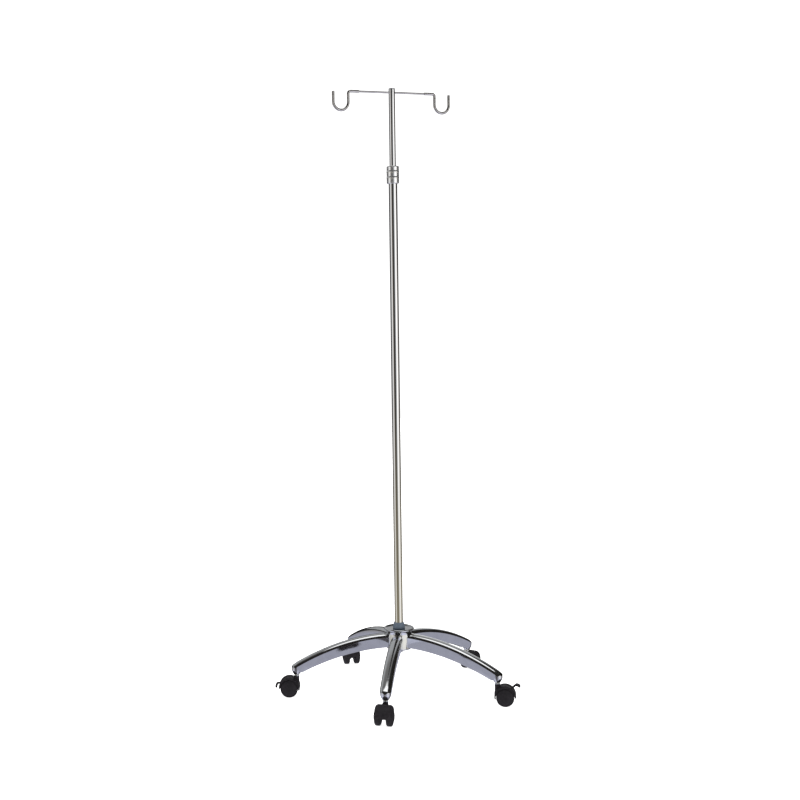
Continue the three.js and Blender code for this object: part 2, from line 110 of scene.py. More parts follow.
def new_object(name, points, faces):
    """A mesh of points in millimetres, with its faces turned to point out."""
    mesh = bpy.data.meshes.new(name)
    mesh.from_pydata([tuple(c * MM for c in p) for p in points], [], faces)
    work = bmesh.new()
    work.from_mesh(mesh)
    bmesh.ops.remove_doubles(work, verts=work.verts, dist=1e-7)
    bmesh.ops.recalc_face_normals(work, faces=work.faces)
    work.to_mesh(mesh)
    work.free()
    obj = bpy.data.objects.new(name, mesh)
    bpy.context.scene.collection.objects.link(obj)
    return obj


def soften(points, reach, closed=False, steps=3):
    """The outline with its corners rounded: each curve starts up to that far from its corner."""
    out = []
    for i, corner in enumerate(points):
        corner = Vector(corner)
        if not closed and i in (0, len(points) - 1):
            out.append(tuple(corner))
            continue
        before = Vector(points[i - 1]) - corner
        after = Vector(points[(i + 1) % len(points)]) - corner
        near = min(reach, before.length * 0.45, after.length * 0.45)
        start = corner + before.normalized() * near
        end = corner + after.normalized() * near
        for k in range(steps + 1):
            t = k / steps
            point = start * (1 - t) ** 2 + corner * 2 * t * (1 - t) + end * t**2
            out.append(tuple(point))
    return out


def spaced(start, end, steps):
    """Values from start to end, that many steps apart."""
    return [start + (end - start) * i / steps for i in range(steps + 1)]


def arc(x, z, r, start, end, steps):
    """Points of an arc, from one angle to the other in degrees."""
    angles = [math.radians(angle) for angle in spaced(start, end, steps)]
    return [(x + r * math.cos(a), z + r * math.sin(a)) for a in angles]


def skin(name, rings, closed=False):
    """A skin over rings of points, capped at both ends, or joined end to end."""
    count = len(rings[0])
    points = [p for ring in rings for p in ring]
    faces = []
    for i in range(len(rings) if closed else len(rings) - 1):
        a, b = i * count, (i + 1) % len(rings) * count
        for j in range(count):
            k = (j + 1) % count
            faces.append((a + j, b + j, b + k, a + k))
    if not closed:
        last = len(points) - count
        faces += [tuple(range(count)), tuple(range(last, last + count))]
    return new_object(name, points, faces)


def turned(name, profile, reach=0.4, sides=72, across=False):
    """A profile of (radius, height) turned about Z, or about Y if across, with softened edges.
    A profile that starts and ends on the axis is capped flat there."""
    closed = profile[0][0] > 0
    outline = soften(profile, reach, closed)
    if not closed:
        outline = outline[1:-1]
    rings = []
    for r, z in outline:
        ring = []
        for k in range(sides):
            angle = 2 * math.pi * k / sides
            x, y = r * math.cos(angle), r * math.sin(angle)
            ring.append((x, z, y) if across else (x, y, z))
        rings.append(ring)
    return skin(name, rings, closed)


def tube_profile(inner, outer, bottom, top):
    return [(inner, bottom), (outer, bottom), (outer, top), (inner, top)]


def rod_profile(r, bottom, top):
    return [(0, bottom), (r, bottom), (r, top), (0, top)]


def slab(name, outline, half):
    """An outline of (x, z) points, that far along Y both ways."""
    return skin(name, [[(x, y, z) for x, z in outline] for y in (-half, half)])


def swept(name, path, r, sides=32):
    """A round rod along a path of (x, z) points, with domed ends half as deep as its radius."""
    path = [Vector(point) for point in path]
    last = len(path) - 1
    dome = [(r / 2 * math.cos(a), math.sin(a)) for a in (math.radians(15 * k) for k in range(1, 6))]
    rows = [(path[0], path[1] - path[0], -ahead, scale) for ahead, scale in dome]
    for i, point in enumerate(path):
        rows.append((point, path[min(i + 1, last)] - path[max(i - 1, 0)], 0, 1))
    rows += [(path[-1], path[-1] - path[-2], ahead, scale) for ahead, scale in reversed(dome)]
    rings = []
    for point, along, ahead, scale in rows:
        along = along.normalized()
        centre = point + along * ahead
        ring = []
        for k in range(sides):
            angle = 2 * math.pi * k / sides
            out = r * scale * math.sin(angle)
            ring.append((centre.x - out * along.y, r * scale * math.cos(angle), centre.y + out * along.x))
        rings.append(ring)
    return skin(name, rings)


def evaluated(obj):
    """Applies the object's modifiers to its mesh."""
    graph = bpy.context.evaluated_depsgraph_get()
    mesh = bpy.data.meshes.new_from_object(obj.evaluated_get(graph))
    obj.modifiers.clear()
    obj.data = mesh
    return obj


def combine(obj, tool, operation="DIFFERENCE"):
    """Cuts, joins or intersects the object with a tool, which is used up."""
    modifier = obj.modifiers.new("combine", "BOOLEAN")
    modifier.operation = operation
    modifier.solver = "EXACT"
    modifier.object = tool
    evaluated(obj)
    bpy.data.objects.remove(tool)
    return obj


def rounded(obj, width, angle=35):
    """Rounds the object's edges sharper than an angle by a small bevel, in millimetres."""
    modifier = obj.modifiers.new("round", "BEVEL")
    modifier.width = width * MM
    modifier.segments = 2
    modifier.limit_method = "ANGLE"
    modifier.angle_limit = math.radians(angle)
    return evaluated(obj)


def moved(obj, x=0.0, y=0.0, z=0.0):
    obj.data.transform(Matrix.Translation((x * MM, y * MM, z * MM)))
    return obj


def dress(obj, material, sharp=40):
    """Gives the object its material and smooth shading, apart from edges sharper than an angle."""
    obj.data.materials.clear()
    obj.data.materials.append(material)
    obj.data.shade_smooth()
    obj.data.set_sharp_from_angle(angle=math.radians(sharp))
    modifier = obj.modifiers.new("normals", "WEIGHTED_NORMAL")
    modifier.keep_sharp = True
    return evaluated(obj)


def install(obj, name, body, slot, place, *nodes):
    """Puts a finished piece in its place, on its body, for the CAD nodes that it stands for."""
    obj.name = name
    obj.data = obj.data.copy()
    obj.data.name = name
    obj.data.transform(place)
    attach(obj, body)
    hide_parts(*nodes)
    return obj


def copy_of(obj):
    twin = bpy.data.objects.new(obj.name, obj.data)
    bpy.context.scene.collection.objects.link(twin)
    return twin


# ---- Materials ------------------------------------------------------------------------------


class Nodes:
    """A material's node tree, with short calls for what the materials here are made of."""

    def __init__(self, name):
        self.material = bpy.data.materials.new(name)
        self.material.use_nodes = True
        self.tree = self.material.node_tree
        self.shader = self.tree.nodes["Principled BSDF"]
        self.coordinates = self.add("ShaderNodeTexCoord").outputs["Object"]

    def add(self, kind, **values):
        node = self.tree.nodes.new(kind)
        for key, value in values.items():
            setattr(node, key, value)
        return node

    def link(self, start, end):
        self.tree.links.new(start, end)

    def noise(self, grain, detail=3.0, stretch=(1, 1, 1)):
        """Noise with lumps of about that many millimetres, drawn out along each axis by stretch."""
        mapping = self.add("ShaderNodeMapping")
        mapping.inputs["Scale"].default_value = [1 / (grain * MM * s) for s in stretch]
        self.link(self.coordinates, mapping.inputs["Vector"])
        texture = self.add("ShaderNodeTexNoise")
        texture.inputs["Scale"].default_value = 1
        texture.inputs["Detail"].default_value = detail
        self.link(mapping.outputs["Vector"], texture.inputs["Vector"])
        return texture.outputs["Fac"]

    def spread(self, value, low, high):
        """A noise's usual range, from about 0.3 to 0.7, spread from low to high."""
        node = self.add("ShaderNodeMapRange")
        node.inputs["From Min"].default_value = 0.3
        node.inputs["From Max"].default_value = 0.7
        node.inputs["To Min"].default_value = low
        node.inputs["To Max"].default_value = high
        self.link(value, node.inputs["Value"])
        return node.outputs["Result"]

    def colour(self, value, dark, light):
        """The surface's colour, from dark to light as the value rises."""
        ramp = self.add("ShaderNodeValToRGB")
        ramp.color_ramp.elements[0].position = 0.35
        ramp.color_ramp.elements[0].color = (*dark, 1)
        ramp.color_ramp.elements[1].position = 0.65
        ramp.color_ramp.elements[1].color = (*light, 1)
        self.link(value, ramp.inputs["Fac"])
        self.link(ramp.outputs["Color"], self.shader.inputs["Base Color"])

    def rough(self, value, low, high):
        self.link(self.spread(value, low, high), self.shader.inputs["Roughness"])

    def relief(self, layers):
        """Bumps from (value, depth in millimetres) layers, one over the other."""
        normal = None
        for value, depth in layers:
            bump = self.add("ShaderNodeBump")
            bump.inputs["Strength"].default_value = 1
            bump.inputs["Distance"].default_value = depth * MM
            self.link(value, bump.inputs["Height"])
            if normal is not None:
                self.link(normal, bump.inputs["Normal"])
            normal = bump.outputs["Normal"]
        self.link(normal, self.shader.inputs["Normal"])


def chrome(name, light, dark, low=0.03, high=0.09, wave=0.012, stretch=(1, 1, 1), metal=1.0):
    """Chrome plate: a faint mottle, hazy patches and the long ripple of the metal beneath."""
    nodes = Nodes(name)
    nodes.shader.inputs["Metallic"].default_value = metal
    nodes.colour(nodes.noise(18, stretch=stretch), dark, light)
    nodes.rough(nodes.noise(7, stretch=stretch), low, high)
    nodes.relief([(nodes.noise(14, 1.0, stretch), wave), (nodes.noise(0.5), 0.0006)])
    return nodes.material


def plated_steel(name, light, dark):
    """Zinc-plated steel, with the fine streaks of its turning."""
    nodes = Nodes(name)
    nodes.shader.inputs["Metallic"].default_value = 1
    nodes.colour(nodes.noise(3), dark, light)
    nodes.rough(nodes.noise(0.6, stretch=(1, 1, 6)), 0.25, 0.45)
    nodes.relief([(nodes.noise(0.4, stretch=(1, 1, 8)), 0.01)])
    return nodes.material


def plastic(name, light, dark, low, high, gloss=0.5):
    """Moulded plastic: a spark-eroded grain, and a sheen that varies where it was handled."""
    nodes = Nodes(name)
    nodes.colour(nodes.noise(4), dark, light)
    nodes.rough(nodes.noise(9), low, high)
    nodes.relief([(nodes.noise(0.35, 2.0), 0.02), (nodes.noise(5, 1.0), 0.02)])
    nodes.shader.inputs["Specular IOR Level"].default_value = gloss
    return nodes.material


TUBE = chrome("tube_chrome", (0.84, 0.84, 0.84), (0.79, 0.79, 0.785), wave=0.02, stretch=(1, 1, 14))
BASE = chrome("base_chrome", (0.80, 0.81, 0.82), (0.74, 0.75, 0.76), 0.05, 0.12, 0.02)
KNOB = chrome("knob_chrome", (0.88, 0.88, 0.88), (0.82, 0.82, 0.82), 0.08, 0.14, 0.02, metal=0.9)
HOOK = chrome("hook_chrome", (0.68, 0.66, 0.64), (0.56, 0.54, 0.52), 0.1, 0.22)
STEM = chrome("stem_chrome", (0.68, 0.72, 0.77), (0.58, 0.62, 0.67), 0.1, 0.22)
ZINC = plated_steel("zinc_steel", (0.60, 0.60, 0.61), (0.50, 0.50, 0.51))
SLATE = plastic("slate_plastic", (0.115, 0.147, 0.19), (0.095, 0.122, 0.158), 0.35, 0.5)
NYLON = plastic("natural_nylon", (0.74, 0.73, 0.68), (0.69, 0.68, 0.62), 0.4, 0.55)
HOOD = plastic("hood_nylon", (0.018, 0.0155, 0.019), (0.012, 0.0105, 0.013), 0.42, 0.6, gloss=0.2)
WHEEL = plastic("wheel_nylon", (0.015, 0.013, 0.016), (0.010, 0.009, 0.011), 0.5, 0.65, gloss=0.2)
LEVER = plastic("lever_nylon", (0.018, 0.0155, 0.019), (0.012, 0.0105, 0.013), 0.38, 0.55, gloss=0.25)

# ---- Mast -----------------------------------------------------------------------------------

CLEARANCE = 0.3  # between a bore and what it holds, on the radius
OUTER_WALL = 1.2
INNER_WALL = 1.1
CAP_BRIM = 2.0  # how far up the cap its spigot reaches
BEAD_RISE = 0.4  # how proud the lock collar's beads stand
BEAD_FOOT_HALF = 2.4
BEAD_CREST_HALF = 0.5
COLLAR_CLEARANCE = 0.35
BAR_R = 2.0
HOOK_R = 2.9
HOOK_START = 76.5  # from the mast's axis, and so is the prong
HOOK_PRONG = 100.5
HOOK_BEND_R = 5.0
HOOK_BOWL_R = 17.0
HOOK_DROP = 39.7  # from the bar to the lowest point of the hook's centreline
HOOK_LIP = 2.0  # how far below the bar the hook's tip ends


def make_tubes():
    bottom, top = height("outer_tube")
    r = radius("outer_tube")
    outer = turned("outer_tube_skin", tube_profile(r - OUTER_WALL, r, bottom, top), 0.5, 96)
    install(dress(outer, TUBE), "outer_tube_polished", "base", "chrome_tube", MAST, "outer_tube")
    bottom, top = height("inner_tube")
    r = radius("inner_tube")
    inner = turned("inner_tube_skin", tube_profile(r - INNER_WALL, r, bottom, top), 0.3, 96)
    install(dress(inner, TUBE), "inner_tube_polished", "mast_head", "chrome_tube", MAST, "inner_tube")
    bottom, top = height("mast_cap")
    spigot, brim = r - INNER_WALL - CLEARANCE, bottom + CAP_BRIM
    cap = [(0, bottom), (spigot, bottom), (spigot, brim), (r, brim), (r, top), (0, top)]
    install(dress(turned("cap", cap, 0.7, 96), TUBE), "mast_cap_turned", "mast_head", "chrome_tube",
            MAST, "mast_cap")


def make_lock_collar():
    """A turned knob with two raised beads, coned inside over the collet."""
    bottom, top = height("lock_collar")
    ridge = radius("lock_collar")
    waist = ridge - BEAD_RISE
    third = (top - bottom) / 3
    outside = [(ridge - 1.5, bottom), (waist, bottom + 1.2)]
    for bead in (bottom + third, bottom + 2 * third):
        outside += [(waist, bead - BEAD_FOOT_HALF), (ridge, bead - BEAD_CREST_HALF),
                    (ridge, bead + BEAD_CREST_HALF), (waist, bead + BEAD_FOOT_HALF)]
    outside += [(waist, top - 1.4), (ridge - 1.9, top)]
    inner_bore, outer_bore = radius("inner_tube") + COLLAR_CLEARANCE, radius("outer_tube") + CLEARANCE
    tube_top = height("outer_tube")[1]
    inside = [(inner_bore, top), (inner_bore, top - 5.5), (8.8, top - 5.7), (10.1, tube_top + 1),
              (outer_bore, tube_top - 1), (outer_bore, bottom)]
    knob = turned("knob", outside + inside, 0.8, 96)
    install(dress(knob, KNOB), "lock_collar_turned", "lock_ring", "chrome_knob", MAST, "lock_collar")


def hook_path():
    """The hook's centreline from the bar outwards, as (x, z) from the mast's axis and the bar's.
    The straights have points close to the bends, which keep their shading straight."""
    bend = HOOK_PRONG - HOOK_BEND_R
    far = HOOK_PRONG + 2 * HOOK_BOWL_R
    bowl = HOOK_BOWL_R - HOOK_DROP
    path = [(x, 0) for x in (HOOK_START, HOOK_START + 2, HOOK_START + 10, bend - 2)]
    path += arc(bend, -HOOK_BEND_R, HOOK_BEND_R, 90, 0, 14)
    path += [(HOOK_PRONG, -HOOK_BEND_R - 4), (HOOK_PRONG, bowl + 4)]
    path += arc(HOOK_PRONG + HOOK_BOWL_R, bowl, HOOK_BOWL_R, 180, 360, 48)
    path += [(far, bowl + 6), (far, -HOOK_LIP)]
    return path


def make_bar_and_hooks():
    half = radius("cross_bar")
    level = Matrix.Translation((0, 0, middle("cross_bar").z))
    bar = swept("bar", [(half * share, 0) for share in (-1, -0.5, 0, 0.5, 1)], BAR_R)
    install(dress(bar, HOOK), "cross_bar_drawn", "mast_head", "chrome_hooks", MAST @ level, "cross_bar")
    for side, sign in (("right", 1), ("left", -1)):
        path = [(sign * x, z) for x, z in hook_path()]
        hook = dress(swept("hook", path, HOOK_R), HOOK)
        install(hook, f"hook_{side}_bent", "mast_head", "chrome_hooks", MAST @ level, f"hook_{side}")


# ---- Base -----------------------------------------------------------------------------------

HUB_R = 28.0
HUB_RIM_R = 33.0
HUB_RECESS_DEPTH = 2.6
HUB_FLOOR = 6.7  # the metal under the tube
BOLT_HOLE_R = 5.4
TONGUE_START = 23.0
TONGUE_END = 48.0
TONGUE_HALF = 9.3
TONGUE_BOTTOM = 101.5
TONGUE_TOP = 109.5
SCREW_AT = 39.0


def make_hub():
    """A turned casting with a rolled rim, a shallow recess and a tongue for each leg."""
    bottom, top = height("base_hub")
    recess, seat, bore = top - HUB_RECESS_DEPTH, bottom + HUB_FLOOR, radius("outer_tube") + CLEARANCE
    hub = turned("hub", [
        (BOLT_HOLE_R, bottom), (HUB_R - 2.5, bottom), (HUB_R, bottom + 2.5), (HUB_R, top - 11),
        (HUB_R + 1.4, top - 7), (HUB_RIM_R, top - 3.2), (HUB_RIM_R, top - 1.4), (HUB_RIM_R - 1.6, top),
        (HUB_RIM_R - 3.6, top - 0.6), (HUB_RIM_R - 4.1, recess), (bore, recess), (bore, seat),
        (BOLT_HOLE_R, seat)], 1.0, 120)
    outline = soften([(TONGUE_START, TONGUE_BOTTOM), (TONGUE_END, TONGUE_BOTTOM), (TONGUE_END, TONGUE_TOP),
                      (TONGUE_START, TONGUE_TOP)], 0.8, closed=True)
    for leg in LEGS:
        tongue = slab("tongue", outline, TONGUE_HALF)
        tongue.data.transform(Matrix.Rotation(heading(mast, stems[leg]), 4, "Z"))
        combine(hub, tongue, "UNION")
    install(dress(rounded(hub, 0.3, 50), BASE), "base_hub_cast", "base", "chrome_base", MAST, "base_hub")


LEG_CREST = 15.0  # where the leg is highest, from the mast's axis
LEG_TOP_HEIGHT = 130.5
LEG_TOP_R = 399.0
LEG_ARCH_HEIGHT = 100.3
LEG_ARCH_R = 431.0
LEG_WALL = 2.2
LEG_DRAFT = 2.4  # how much nearer the walls stand at the bottom
LEG_ROOT_HALF = 13.0
LEG_TIP_HALF = 12.4
LEG_TIP = LEG_REACH + 11.6
SHOULDER_R = 10.0
SHOULDER_FROM = 16  # where the shoulder leaves the wall, in degrees, with a faint edge there
SHOULDER_TO = 84  # where it meets the top
CROWN = 0.3
LEG_HEEL = 216.0  # where the lower edge starts to rise towards the tip
LEG_NOSE = 222.0  # where the sides and the top start to close in
NOSE_RISE = 10.5
NOSE_DROP = 8.0
NOSE_LEAN = 1.5
NOSE_BLUNTNESS = 2.5  # the power of the nose's curve as seen from above, where 2 is an ellipse
NOSE_TOP_POWER = 3  # the same for its curve as seen from the side
NOSE_RINGS = 16
NOSE_SWEEP = 88  # degrees round the nose, which ends in a small flat
BLOCK_HOLE_R = 2.5
BLOCK_HOLE_TOP = 123.0
BOSS_BOTTOM = 48.6
BOSS_R = 11.2
SOCKET_R = 5.9
SOCKET_TOP = 68.6
ROOT_CUT_BOTTOM = 93.0  # the cut that fits the leg's root to the hub passes it above and below
ROOT_CUT_TOP = 134.0


def leg_top(x):
    return LEG_TOP_HEIGHT - (x - LEG_CREST) ** 2 / (2 * LEG_TOP_R)


def leg_bottom(x):
    def arch(at):
        return LEG_ARCH_HEIGHT - (at - LEG_CREST) ** 2 / (2 * LEG_ARCH_R)

    if x <= LEG_HEEL:
        return arch(x)
    return arch(LEG_HEEL) + NOSE_RISE * ((x - LEG_HEEL) / (LEG_TIP - LEG_HEEL)) ** 3


def leg_half(x):
    share = (x - HUB_R) / (LEG_REACH - HUB_R)
    return LEG_ROOT_HALF + (LEG_TIP_HALF - LEG_ROOT_HALF) * share


def leg_ring(x, half, bottom, top, shoulder, lean=0.0):
    """Across the leg: level below, leaning sides, rounded shoulders and a slightly crowned top.
    The ring's foot may lean back along the leg."""
    edge = min(0.6, half * 0.3)
    draft = min(LEG_DRAFT, half * 0.35)
    foot = [(half - draft - edge, bottom), (half - draft, bottom + edge)]
    rise = top - shoulder - bottom
    sides = [(half - draft * (1 - t), bottom + rise * t) for t in (0.33, 0.66)]
    crown = CROWN * min(1, half / 6)
    start = SHOULDER_FROM * min(1, half / LEG_TIP_HALF) ** 2
    turn = arc(half - shoulder, top - crown - shoulder, shoulder, start, SHOULDER_TO, 9)
    flat = [((half - shoulder) * t, top - crown * t**2) for t in (0.7, 0.35)]
    right = foot + sides + turn + flat
    left = [(-y, z) for y, z in reversed(right)]
    ring = right + [(0, top)] + left
    return [(x - lean * (1 - (z - bottom) / (top - bottom)), y, z) for y, z in ring]


def rounding(along, power):
    """How much is left of a width at a share of the way along a nose: 1 at its start, 0 at its end."""
    return (1 - along**power) ** (1 / power)


def leg_blank(floor=None):
    """The leg before it is hollowed, or all that lies below its skin down to a floor."""
    rings = []
    for x in spaced(HUB_R - 6, LEG_NOSE, 44):
        rings.append(leg_ring(x, leg_half(x), floor or leg_bottom(x), leg_top(x), SHOULDER_R))
    for angle in spaced(0, NOSE_SWEEP, NOSE_RINGS)[1:]:
        along = math.sin(math.radians(angle))
        x = LEG_NOSE + (LEG_TIP - LEG_NOSE) * along
        shrink = rounding(along, NOSE_BLUNTNESS)
        top = leg_top(x) - NOSE_DROP * (1 - rounding(along, NOSE_TOP_POWER))
        bottom = floor or min(leg_bottom(x), top - 3)
        half = leg_half(x) * shrink
        # The shoulder has to fit inside the ring, or the ring crosses itself.
        shoulder = min(SHOULDER_R * shrink**0.5, (top - bottom) / 1.6, half * 0.95)
        lean = 0 if floor else NOSE_LEAN * along**2
        rings.append(leg_ring(x, half, bottom, top, shoulder, lean))
    return skin("leg", rings)


def leg_hollow():
    """The room inside a leg, open below."""
    rings = []
    for x in spaced(HUB_R - 8, LEG_NOSE + 4, 39):
        half, top = leg_half(x) - LEG_WALL, leg_top(x) - LEG_WALL
        corner = arc(half - 4, top - 0.6 - 4, 4, 0, 90, 5)
        right = [(half - LEG_DRAFT, leg_bottom(x) - 12), (half - LEG_DRAFT, leg_bottom(x))] + corner
        rings.append([(x, y, z) for y, z in right + [(-y, z) for y, z in reversed(right)]])
    return skin("hollow", rings)


def make_legs():
    """Pressed channels, open below, each with a block for its screw and a boss for its caster.
    The block and the boss reach a little into the walls, and stop at the leg's outer skin."""
    inside = LEG_ROOT_HALF - LEG_WALL + 0.5
    under_all = BOSS_BOTTOM - 5
    leg = combine(leg_blank(), leg_hollow())
    low, high = TONGUE_TOP + CLEARANCE, leg_top(TONGUE_END) - 1
    block = slab("block", soften([(HUB_R, low), (TONGUE_END, low), (TONGUE_END, high), (HUB_R, high)], 0.8,
                                 True), inside)
    hole = turned("hole", rod_profile(BLOCK_HOLE_R, TONGUE_TOP - 1, BLOCK_HOLE_TOP), 0.1, 32)
    combine(block, moved(hole, SCREW_AT))
    combine(leg, combine(block, leg_blank(under_all), "INTERSECT"), "UNION")
    ceiling = leg_top(LEG_REACH) - 1.6
    funnel = [(6.6, 0), (7.6, 1.6), (9.2, 4.4), (BOSS_R, 9)]
    boss = turned("boss", [(0, BOSS_BOTTOM)] + [(r, BOSS_BOTTOM + z) for r, z in funnel]
                  + [(BOSS_R, ceiling), (0, ceiling)], 1.0, 64)
    moved(boss, LEG_REACH)
    combine(leg, combine(boss, leg_blank(under_all), "INTERSECT"), "UNION")
    socket = turned("socket", rod_profile(SOCKET_R, BOSS_BOTTOM - 2, SOCKET_TOP), 0.1, 48)
    combine(leg, moved(socket, LEG_REACH))
    combine(leg, turned("root", rod_profile(HUB_R + CLEARANCE, ROOT_CUT_BOTTOM, ROOT_CUT_TOP), 0.1, 120))
    dress(leg, BASE, 17)
    for name in LEGS:
        install(copy_of(leg), f"leg_{name}_pressed", "base", "chrome_base", LEG_PLACES[name],
                f"leg_{name}")
    bpy.data.objects.remove(leg)


BOLT_HEX_R = 9.2  # to the corners
BOLT_HEAD = 6.0
BOLT_R = 5.0


def hexagon(r, bottom, top):
    """A hexagon bolt's head, with its corners chamfered by a cone."""
    corners = [(r * math.cos(math.radians(60 * k)), r * math.sin(math.radians(60 * k))) for k in range(6)]
    head = skin("head", [[(x, y, z) for x, y in corners] for z in (bottom, top)])
    cone = turned("cone", [(0, bottom), (r * 0.84, bottom), (r * 1.06, bottom + 2.2), (r * 1.06, top + 1),
                           (0, top + 1)], 0.05, 48)
    return combine(head, cone, "INTERSECT")


def make_fasteners():
    bottom, top = height("base_bolt")
    under = bottom + BOLT_HEAD
    shank = turned("shank", rod_profile(BOLT_R, under - 1, top), 0.6, 48)
    bolt = combine(hexagon(BOLT_HEX_R, bottom, under), shank, "UNION")
    install(dress(rounded(bolt, 0.25), ZINC, 30), "base_bolt_hex", "base", "zinc_steel", MAST, "base_bolt")
    bottom, top = height("base_washer")
    washer = turned("washer", tube_profile(BOLT_R + CLEARANCE, radius("base_washer"), bottom, top))
    install(dress(washer, ZINC), "base_washer_flat", "base", "zinc_steel", MAST, "base_washer")
    bottom, top = height("leg_screw_front")
    head = turned("screw", [(0, bottom + 2.2), (1.6, bottom + 2.2), (1.9, bottom + 0.5), (2.2, bottom),
                            (3.3, bottom + 0.3), (4.4, bottom + 1.8), (4.4, bottom + 3.6),
                            (2.2, bottom + 3.6), (2.2, top - 1), (1.5, top), (0, top)], 0.3, 40)
    dress(moved(head, SCREW_AT), ZINC, 30)
    for name in LEGS:
        install(copy_of(head), f"leg_screw_{name}_turned", "base", "zinc_steel", LEG_PLACES[name],
                f"leg_screw_{name}")
    bpy.data.objects.remove(head)


def make_pole_collar():
    bottom, top = height("pole_collar")
    bore = radius("outer_tube") + CLEARANCE
    r = radius("pole_collar")
    collar = turned("collar", [(bore, bottom), (r, bottom), (r, bottom + 3.7), (10.9, top - 1), (10.3, top),
                               (bore, top)], 0.9, 96)
    install(dress(collar, SLATE), "pole_collar_moulded", "base", "slate_plastic", MAST, "pole_collar")


def make_inner_parts():
    """The pieces inside the tubes and bosses, which show only when the stand is taken apart."""
    bottom, top = height("foot_plug")
    plug = turned("plug", tube_profile(BOLT_R + CLEARANCE, radius("foot_plug"), bottom, top), 0.8)
    install(dress(plug, ZINC), "foot_plug_turned", "base", "plug_steel", MAST, "foot_plug")
    bottom, top = height("foot_glide")
    spigot, flange = radius("inner_tube") - INNER_WALL - CLEARANCE, radius("foot_glide")
    step = bottom + 9
    glide = turned("glide", [(2.5, bottom), (flange, bottom), (flange, step), (spigot, step), (spigot, top),
                             (2.5, top)], 0.8)
    install(dress(glide, NYLON), "foot_glide_moulded", "mast_foot", "nylon", MAST, "foot_glide")
    bottom, top = height("collet")
    bore = radius("inner_tube") + CLEARANCE
    ring = turned("collet", [(bore, bottom), (9.6, bottom), (8.5, top), (bore, top)], 0.4)
    slit = slab("slit", [(5, bottom - 1), (12, bottom - 1), (12, top + 1), (5, top + 1)], 0.8)
    install(dress(combine(ring, slit), NYLON), "collet_split", "base", "nylon", MAST, "collet")


# ---- Casters --------------------------------------------------------------------------------

HOOD_R = 22.9
HOOD_LIFT = 1.0  # the hood's axis over the axle's
HOOD_HALF = 17.1
HOOD_WELL_R = 19.8
HOOD_WEB = 6.0  # half the thickness of the web between the wheels
HOOD_NOTCH = HOOD_WEB + 0.4  # half the width of the gap between the two sides of the hood
HOOD_BOSS_R = 5.6
HOOD_BOSS_TOP = 44.4
STEM_BOTTOM = 26.0
STEM_PIN_R = 3.4
STEM_SEAT_R = 5.5  # the ring under the leg's boss
STEM_SEAT = 3.0
STEM_R = 4.0
AXLE_R = 3.0
AXLE_BORE_R = AXLE_R + 0.2
AXLE_END = 3.3  # from the wheel's face in to the axle's end
WHEEL_IN = 6.4  # the wheel's faces, measured along the axle from the middle
WHEEL_RIM = 17.4
WHEEL_OUT = 20.9
WHEEL_DISC_R = WHEEL_R * 0.80
ON_AXIS = 0.01  # as near the axis as a hollow profile goes
LEVER_X = TRAIL + 7
LEVER_Z = WHEEL_R + 13
LEVER_EYE_R = 4.2
LEVER_NECK = 2.2  # half the neck's width, and half the paddle's below
LEVER_PADDLE = 6.5
LEVER_NECK_STEPS = 6  # the steps before it starts to widen, and the steps it widens over
LEVER_BEND_R = 6.6
LEVER_HALF_T = 2.1
BRAKE_PIN_R = 1.4
BRAKE_PIN_BORE_R = 1.75  # in the lever
BRAKE_PIN_HOLE_R = 1.8  # in the hood
ALL_ACROSS = 8.0  # far enough either way to cut right through the web


def cross_rod(name, r, low, high, x, z, reach=0.1, sides=64):
    """A rod across the caster, at x and z in the caster's own axes."""
    return moved(turned(name, rod_profile(r, low, high), reach, sides, across=True), x, 0, z)


